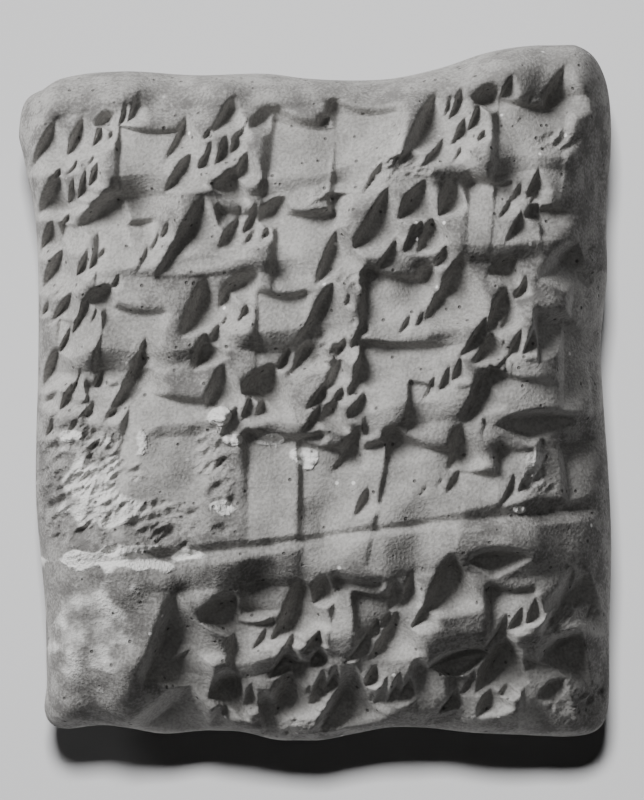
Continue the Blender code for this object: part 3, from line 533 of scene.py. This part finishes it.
def tabletPoints(p, q, r):
    u, v, w = pillow(p, q, r)
    x, y = plan(u, v)
    front = (tablet["thickness"] - tablet["belt"]) * w
    back = (tablet["belt"] + tablet["flatSink"]) * w
    deep, lips = strokes(x, y)
    worn = spots(wornPlaces, x, y)
    crumbs = spots(crumbPlaces, x, y)
    kept = deep * (1 - surface["wornFill"] * worn)
    rough = 2 * crumble(x, y, surface["crumblePitch"], seeds["crumble"]) - surface["crumbleSink"]
    loose = np.maximum(0, waves(x, y, surface["crumbPitch"], seeds["crumbs"], 16))
    cut = np.maximum(kept, ruledLine(x, y)) + terraces(x, y) - lips
    cut = cut + worn * surface["crumble"] * rough - crumbs * surface["crumb"] * loose
    cut = cut + relief["swell"] * waves(x, y, relief["swellPitch"], seeds["swell"])
    cut = cut + relief["dimple"] * waves(x, y, relief["dimplePitch"], seeds["dimple"])

    # the right edge falls away, most at its upper and lower ends, and so does the foot
    ends = smooth(*relief["shoulderSpread"], np.abs(v - relief["shoulderMiddle"]))
    fullness = relief["shoulderLeast"] + (1 - relief["shoulderLeast"]) * ends
    shoulder = relief["shoulder"] * smooth(relief["shoulderFrom"], 1, u) * fullness
    foot = relief["foot"] * smooth(*relief["footUp"], v) * smooth(*relief["footAcross"], u)
    front = front - cut * smooth(*tablet["faceZone"], w) - (shoulder + foot) * w

    # the back swells a little everywhere but at its flat spot, and the sides wave
    swell = tablet["backSwell"] * (1 + waves(x, y, tablet["backPitch"], seeds["back"]))
    back = back + swell * smooth(*tablet["backZone"], -w) * (1 - smooth(*tablet["flatZone"], -w))
    z = tablet["belt"] + np.where(w > 0, front, back)
    side = smooth(*tablet["sideZone"], np.hypot(u, v)) * (1 - smooth(*tablet["sideHeights"], np.abs(w)))
    sink = surface["sideWave"] * (1 + waves(x + y, z, surface["sidePitch"], seeds["sides"]))
    inward = 1 - side * sink / (tablet["width"] / 2)
    return x * inward, y * inward, np.maximum(z, 0)


def pointsOf(mesh):
    points = np.empty(len(mesh.vertices) * 3)
    mesh.vertices.foreach_get("co", points)
    return points.reshape(-1, 3)


def cutAlong(piece, axis, cuts):
    # subdivides only the edges that run along one axis
    mesh = piece.data
    points = pointsOf(mesh)
    ends = np.empty(len(mesh.edges) * 2, dtype=np.int32)
    mesh.edges.foreach_get("vertices", ends)
    runs = np.abs(points[ends[1::2]] - points[ends[::2]])[:, axis] > 1e-6
    mesh.polygons.foreach_set("select", np.zeros(len(mesh.polygons), dtype=bool))
    mesh.vertices.foreach_set("select", np.zeros(len(mesh.vertices), dtype=bool))
    mesh.edges.foreach_set("select", runs)
    bpy.ops.object.mode_set(mode="EDIT")
    bpy.ops.mesh.subdivide(number_cuts=cuts)
    bpy.ops.object.mode_set(mode="OBJECT")


def makeTablet():
    bpy.ops.object.select_all(action="DESELECT")
    bpy.ops.mesh.primitive_cube_add(size=2)
    piece = bpy.context.object
    piece.name = "clayTablet"
    bpy.ops.object.mode_set(mode="EDIT")
    bpy.ops.mesh.select_mode(type="EDGE")
    bpy.ops.object.mode_set(mode="OBJECT")
    for axis, rounds in enumerate(tablet["cuts"]):
        for cuts in rounds:
            cutAlong(piece, axis, cuts)
    cube = pointsOf(piece.data)
    r = 1 - 2 * ((1 - cube[:, 2]) / 2) ** tablet["frontLoad"]
    x, y, z = tabletPoints(cube[:, 0], cube[:, 1], r)
    x = x - (x.max() + x.min()) / 2
    y = y - (y.max() + y.min()) / 2
    piece.data.vertices.foreach_set("co", np.stack((x, y, z), axis=1).ravel())
    piece.data.update()
    print("tablet moulded,", len(piece.data.vertices), "points")

    soften = piece.modifiers.new("soften", "SMOOTH")
    soften.factor = tablet["softening"]
    soften.iterations = tablet["softenRounds"]
    bpy.ops.object.modifier_apply(modifier="soften")
    thin = piece.modifiers.new("thin", "DECIMATE")
    thin.ratio = tablet["triangles"] / (2 * len(piece.data.polygons))
    bpy.ops.object.modifier_apply(modifier="thin")
    bpy.ops.object.shade_smooth()
    print("tablet thinned to", len(piece.data.polygons), "faces")
    return piece


clay = {
    "dark": (0.285, 0.278, 0.268, 1.0),
    "light": (0.50, 0.49, 0.475, 1.0),
    "crust": (0.86, 0.85, 0.83, 1.0),
    # this dark colour is dirt on the bare clay and painted shade in the stroke hollows
    "dirtAndShade": (0.17, 0.165, 0.16, 1.0),
    # near-black painted shade for the small pores
    "pore": (0.07, 0.068, 0.065, 1.0),
    "grain": (0.90, 0.89, 0.87, 1.0),
    "roughness": 0.92,
    "specular": 0.2,
    "patchPitch": 5.0 * mm,
    "patchShare": 0.9,
    "mottlePitch": 1.1 * mm,
    "mottleShare": 0.8,
    "specklePitch": 0.16 * mm,
    "speckleShare": 1.3,
    "toneRange": (1.05, 1.95),
    "bareDirt": 0.30,               # dirt on the clay that no stylus pressed, and more in flecks
    "fleckDirt": 0.65,
    "fleckSpeckle": 0.6,
    "fleckRange": (0.95, 0.6),
    # how much painted shade darkens the stroke hollows
    "hollowShade": 0.55,
    "hollowRange": (0.35, 0.65),
    "crustCover": 0.92,
    "crustMottle": 0.9,
    "crustRange": (0.75, 1.25),
    "crustEdge": (0.02, 0.3),
    "porePitch": 0.62 * mm,
    "poreSize": (0.2, 0.08),        # shares of a cell, edge and middle
    "poreDraw": (0.55, 0.6),        # which of the cells have one
    "poreShading": 0.7,
    "poreDepth": 0.8,
    "grainPitch": 1.1 * mm,
    "grainSize": (0.12, 0.05),
    "grainDraw": (0.72, 0.76),
    "roughBare": 0.9,               # height of the grain: bare clay, worn places, hollows
    "roughWorn": 1.2,
    "smoothHollow": 0.5,
    "roughMottle": 0.8,
    "bump": 0.07 * mm,
    "bumpStrength": 0.9,
    "hollowFrom": 0.3 * mm,         # stroke depths where the hollows' painted shade and smoother grain begin and where they are full
    "hollowTo": 1.1 * mm,
    "pressedTo": 0.12 * mm,
    "margin": 0.55,                 # how smooth the upper edge is, pressed with a thumb
    "marginFrom": 0.80,
    "marginTo": 0.90,
}


def markPlaces(piece):
    # what the material reads at each point: crust, worn places, hollows and pressed clay
    points = pointsOf(piece.data)
    x, y, z = points[:, 0], points[:, 1], points[:, 2]
    front = smooth(tablet["belt"] - 1 * mm, tablet["belt"] + 2 * mm, z)
    up = y / (tablet["height"] / 2)
    margin = clay["margin"] * smooth(clay["marginFrom"], clay["marginTo"], up)
    deep, _ = strokes(x, y)
    marks = {
        "crust": np.maximum(spots(crustPlaces, x, y), spots(crumbPlaces, x, y)),
        "worn": spots(wornPlaces, x, y),
        "hollow": smooth(clay["hollowFrom"], clay["hollowTo"], deep),
        "pressed": np.maximum(smooth(0.0, clay["pressedTo"], deep), margin),
    }
    for name, values in marks.items():
        mark = piece.data.attributes.new(name, "FLOAT", "POINT")
        mark.data.foreach_set("value", values * front)


class ShaderMaker:
    def __init__(self, name):
        self.material = bpy.data.materials.new(name)
        self.material.use_nodes = True
        self.nodes = self.material.node_tree.nodes
        self.link = self.material.node_tree.links.new
        self.shader = self.nodes["Principled BSDF"]
        self.place = self.nodes.new("ShaderNodeTexCoord").outputs["Object"]

    def put(self, socket, value):
        if isinstance(value, bpy.types.NodeSocket):
            self.link(value, socket)
        else:
            socket.default_value = value

    def noise(self, pitch, detail):
        node = self.nodes.new("ShaderNodeTexNoise")
        node.inputs["Scale"].default_value = 1 / pitch
        node.inputs["Detail"].default_value = detail
        self.link(self.place, node.inputs["Vector"])
        return node.outputs["Fac"]

    def cells(self, pitch):
        node = self.nodes.new("ShaderNodeTexVoronoi")
        node.inputs["Scale"].default_value = 1 / pitch
        self.link(self.place, node.inputs["Vector"])
        return node.outputs["Distance"], node.outputs["Color"]

    def mark(self, name):
        node = self.nodes.new("ShaderNodeAttribute")
        node.attribute_name = name
        return node.outputs["Fac"]

    def maths(self, operation, first, second):
        node = self.nodes.new("ShaderNodeMath")
        node.operation = operation
        self.put(node.inputs[0], first)
        self.put(node.inputs[1], second)
        return node.outputs[0]

    def step(self, value, low, high):
        node = self.nodes.new("ShaderNodeMapRange")
        node.interpolation_type = "SMOOTHSTEP"
        self.put(node.inputs[0], value)
        node.inputs[1].default_value = low
        node.inputs[2].default_value = high
        return node.outputs[0]

    def mix(self, share, first, second):
        node = self.nodes.new("ShaderNodeMix")
        node.data_type = "RGBA"
        self.put(node.inputs[0], share)
        self.put(node.inputs[6], first)
        self.put(node.inputs[7], second)
        return node.outputs[2]


def clayMaterial():
    make = ShaderMaker("dryClay")
    make.shader.inputs["Roughness"].default_value = clay["roughness"]
    make.shader.inputs["Specular IOR Level"].default_value = clay["specular"]
    patches = make.noise(clay["patchPitch"], 5)
    mottle = make.noise(clay["mottlePitch"], 6)
    speckle = make.noise(clay["specklePitch"], 4)
    tone = make.maths("MULTIPLY", patches, clay["patchShare"])
    tone = make.maths("ADD", tone, make.maths("MULTIPLY", mottle, clay["mottleShare"]))
    tone = make.maths("ADD", tone, make.maths("MULTIPLY", speckle, clay["speckleShare"]))
    colour = make.mix(make.step(tone, *clay["toneRange"]), clay["dark"], clay["light"])

    # the clay that no stylus pressed is darker and rougher
    bare = make.maths("SUBTRACT", 1.0, make.mark("pressed"))
    flecks = make.maths("ADD", mottle, make.maths("MULTIPLY", speckle, clay["fleckSpeckle"]))
    flecks = make.step(flecks, *clay["fleckRange"])
    bareTone = make.maths("ADD", clay["bareDirt"], make.maths("MULTIPLY", flecks, clay["fleckDirt"]))
    colour = make.mix(make.maths("MULTIPLY", bare, bareTone), colour, clay["dirtAndShade"])

    # painted shade: the deeper hollows of the strokes are darkened, in flecks
    shadedHollow = make.maths("MULTIPLY", make.mark("hollow"), make.step(mottle, *clay["hollowRange"]))
    colour = make.mix(make.maths("MULTIPLY", shadedHollow, clay["hollowShade"]), colour, clay["dirtAndShade"])

    # pale crust, thicker where its mark is strong
    crust = make.maths("ADD", make.mark("crust"), make.maths("MULTIPLY", mottle, clay["crustMottle"]))
    edge = make.step(make.mark("crust"), *clay["crustEdge"])
    crust = make.maths("MULTIPLY", make.step(crust, *clay["crustRange"]), edge)
    colour = make.mix(make.maths("MULTIPLY", crust, clay["crustCover"]), colour, clay["crust"])

    # pores painted dark as their own shade, and white grains, each in a few of the cells
    poreAway, poreDraw = make.cells(clay["porePitch"])
    poreDot = make.step(poreAway, *clay["poreSize"])
    pore = make.maths("MULTIPLY", poreDot, make.step(poreDraw, *clay["poreDraw"]))
    colour = make.mix(make.maths("MULTIPLY", pore, clay["poreShading"]), colour, clay["pore"])
    grainAway, grainDraw = make.cells(clay["grainPitch"])
    grainDot = make.step(grainAway, *clay["grainSize"])
    grain = make.maths("MULTIPLY", grainDot, make.step(grainDraw, *clay["grainDraw"]))
    colour = make.mix(grain, colour, clay["grain"])
    make.link(colour, make.shader.inputs["Base Color"])

    # the grain is finest where the stylus pressed the clay and coarse in the crust and the worn places
    rough = make.maths("ADD", make.maths("MULTIPLY", make.mark("worn"), clay["roughWorn"]), crust)
    smoother = make.maths("MULTIPLY", make.mark("hollow"), clay["smoothHollow"])
    rough = make.maths("ADD", rough, make.maths("SUBTRACT", clay["roughBare"], smoother))
    height = make.maths("ADD", speckle, make.maths("MULTIPLY", mottle, clay["roughMottle"]))
    sunk = make.maths("MULTIPLY", pore, clay["poreDepth"])
    height = make.maths("SUBTRACT", make.maths("MULTIPLY", height, rough), sunk)
    bump = make.nodes.new("ShaderNodeBump")
    bump.inputs["Strength"].default_value = clay["bumpStrength"]
    bump.inputs["Distance"].default_value = clay["bump"]
    make.link(height, bump.inputs["Height"])
    make.link(bump.outputs["Normal"], make.shader.inputs["Normal"])
    return make.material


floorLook = {
    "side": 4.0,
    "colour": (0.40, 0.40, 0.405, 1.0),
    "roughness": 0.9,
}


def floorMaterial():
    material = bpy.data.materials.new("paleFloor")
    material.use_nodes = True
    shader = material.node_tree.nodes["Principled BSDF"]
    shader.inputs["Base Color"].default_value = floorLook["colour"]
    shader.inputs["Roughness"].default_value = floorLook["roughness"]
    return material


def makeFloor():
    bpy.ops.object.select_all(action="DESELECT")
    bpy.ops.mesh.primitive_plane_add(size=floorLook["side"])
    floor = bpy.context.object
    floor.name = "floor"
    floor.data.materials.append(floorMaterial())
    return floor


camera = {
    "lens": 260.0,
    "sensor": 36.0,
    "nearest": 0.01,
    "furthest": 10.0,
}


def placeCamera():
    # straight above, the photograph's long side on the sensor's long side
    tall = photo["tall"] * photo["pixel"]
    away = camera["lens"] * tall / camera["sensor"]
    x = (photo["wide"] / 2 - photo["middle"][0]) * photo["pixel"]
    y = (photo["middle"][1] - photo["tall"] / 2) * photo["pixel"]
    bpy.ops.object.camera_add(location=(x, y, tablet["belt"] + away), rotation=(0, 0, 0))
    view = bpy.context.object
    view.data.lens = camera["lens"]
    view.data.sensor_width = camera["sensor"]
    view.data.clip_start = camera["nearest"]
    view.data.clip_end = camera["furthest"]
    bpy.context.scene.camera = view


lights = {
    # name: azimuth, elevation, distance, size in metres, power in watts, what it lights
    "key": (138, 34, 0.40, 0.16, 2.55, "tablet"),
    "floorWash": (97, 76, 0.40, 0.04, 3.9, "floor"),
    "lowWash": (150, 45, 0.60, 0.15, 0.2, "floor"),
    "overhead": (0, 89, 0.60, 0.60, 0.32, "tablet"),
}


surroundings = {
    "colour": (0.05, 0.05, 0.05, 1.0),
    "strength": 0.1,
}


def dimSurroundings():
    room = bpy.data.worlds.new("dimRoom")
    room.use_nodes = True
    background = room.node_tree.nodes["Background"]
    background.inputs["Color"].default_value = surroundings["colour"]
    background.inputs["Strength"].default_value = surroundings["strength"]
    bpy.context.scene.world = room


def addLights(piece, floor):
    for name, (azimuth, elevation, distance, side, power, lit) in lights.items():
        turn = math.radians(azimuth)
        rise = math.radians(elevation)
        spot = (
            distance * math.cos(rise) * math.cos(turn),
            distance * math.cos(rise) * math.sin(turn),
            distance * math.sin(rise),
        )
        bpy.ops.object.light_add(type="AREA", location=spot, rotation=(0, math.pi / 2 - rise, turn))
        light = bpy.context.object
        light.name = name
        light.data.size = side
        light.data.energy = power
        receivers = bpy.data.collections.new(name + "Lights")
        receivers.objects.link(piece if lit == "tablet" else floor)
        light.light_linking.receiver_collection = receivers


placeCamera()
dimSurroundings()
floor = makeFloor()
clayTablet = makeTablet()
markPlaces(clayTablet)
clayTablet.data.materials.append(clayMaterial())
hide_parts("tablet")
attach(clayTablet, "root")
addLights(clayTablet, floor)
print("lights and camera set")
